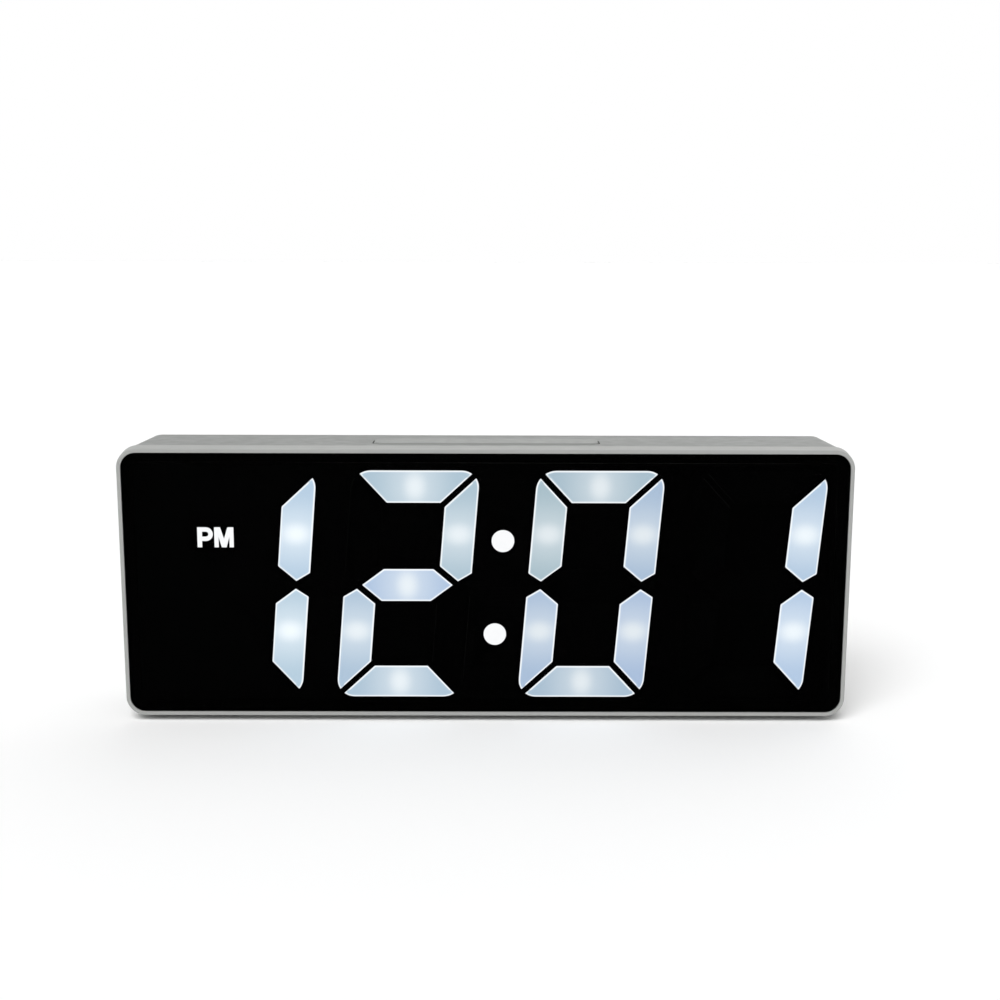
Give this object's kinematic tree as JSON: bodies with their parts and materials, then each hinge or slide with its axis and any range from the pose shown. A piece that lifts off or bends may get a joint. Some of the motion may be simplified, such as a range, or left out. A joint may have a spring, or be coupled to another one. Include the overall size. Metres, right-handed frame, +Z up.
{
  "type": "digital led desk clock",
  "caption": "Low rectangular desk clock with a smoked lens over slanted seven-segment LED digits, a top snooze bar, rear setting keys, USB inlet and a hinged battery door.",
  "frame": {"origin": "on the table, under the middle of the clock's bounding box", "axes": "+X along the clock's length, to the right seen from the front; +Y from the lens to the rear; +Z up"},
  "size_m": [0.16, 0.0288, 0.0614],
  "materials": {
    "case_plastic": "light silver-grey moulded plastic, satin gloss",
    "cover_plastic": "light silver-grey moulded plastic, fine grain",
    "smoked_lens": "polished smoked acrylic, near black",
    "lens_tape": "black foam tape",
    "mask_black": "matt black",
    "reflector_white": "white moulded plastic",
    "milk_diffuser": "milky light-spreading plastic",
    "board_green": "solder-masked circuit board",
    "lamp_body": "lamp bodies with yellow phosphor",
    "chip_black": "black moulded resin",
    "plunger_plastic": "pale switch plungers",
    "can_metal": "plated cans and shells",
    "screw_steel": "zinc-plated steel",
    "key_plastic": "light silver-grey moulded keys",
    "contact_metal": "nickel-plated spring strip",
    "cell_jacket": "plain printed cell jackets",
    "lead_red": "red insulated wire",
    "lead_black": "black insulated wire",
    "foot_rubber": "black rubber"
  },
  "bodies": {
    "clock": {"front_bezel": "case_plastic", "main_shell": "case_plastic", "rear_cover": "cover_plastic", "front_lens": "smoked_lens", "lens_tape": "lens_tape", "segment_mask": "mask_black", "reflector": "reflector_white", "hour_tens_segments": "milk_diffuser", "hour_units_segments": "milk_diffuser", "minute_tens_segments": "milk_diffuser", "minute_units_segments": "milk_diffuser", "colon_dots": "milk_diffuser", "pm_window": "milk_diffuser", "display_board": "board_green", "key_board": "board_green", "segment_lamps": "lamp_body", "clock_chip": "chip_black", "chip_resistors": "chip_black", "board_header": "chip_black", "snooze_switch": "chip_black", "key_switches": "chip_black", "buzzer": "chip_black", "usb_tongue": "chip_black", "crystal": "can_metal", "capacitor": "can_metal", "usb_shell": "can_metal", "board_screws": "screw_steel", "cover_screws": "screw_steel", "key_board_screws": "screw_steel", "link_contacts": "contact_metal", "end_contacts": "contact_metal", "battery_cells": "cell_jacket", "plus_lead": "lead_red", "minus_lead": "lead_black", "rubber_feet": "foot_rubber"},
    "snooze": {"snooze_bar": "key_plastic", "snooze_plunger": "plunger_plastic"},
    "set_button": {"set_key": "key_plastic", "set_plunger": "plunger_plastic"},
    "up_button": {"up_key": "key_plastic", "up_plunger": "plunger_plastic"},
    "down_button": {"down_key": "key_plastic", "down_plunger": "plunger_plastic"},
    "alarm_button": {"alarm_key": "key_plastic", "alarm_plunger": "plunger_plastic"},
    "door": {"battery_door": "cover_plastic"}
  },
  "joints": [
    {"name": "snooze_press", "type": "slide", "parent": "clock", "child": "snooze", "axis": [0, 0, -1], "range_m": [0, 0.0006], "stiffness_N_per_m": 500, "springref_m": -0.0008},
    {"name": "set_press", "type": "slide", "parent": "clock", "child": "set_button", "axis": [0, -1, 0], "range_m": [0, 0.0005], "stiffness_N_per_m": 500, "springref_m": -0.0008},
    {"name": "up_press", "type": "slide", "parent": "clock", "child": "up_button", "axis": [0, -1, 0], "range_m": [0, 0.0005], "stiffness_N_per_m": 500, "springref_m": -0.0008},
    {"name": "down_press", "type": "slide", "parent": "clock", "child": "down_button", "axis": [0, -1, 0], "range_m": [0, 0.0005], "stiffness_N_per_m": 500, "springref_m": -0.0008},
    {"name": "alarm_press", "type": "slide", "parent": "clock", "child": "alarm_button", "axis": [0, -1, 0], "range_m": [0, 0.0005], "stiffness_N_per_m": 500, "springref_m": -0.0008},
    {"name": "door_hinge", "type": "hinge", "parent": "clock", "child": "door", "pos_m": [-0.0369, 0.01255, 0.01295], "axis": [-1, 0, 0], "range_deg": [0, 90]}
  ]
}
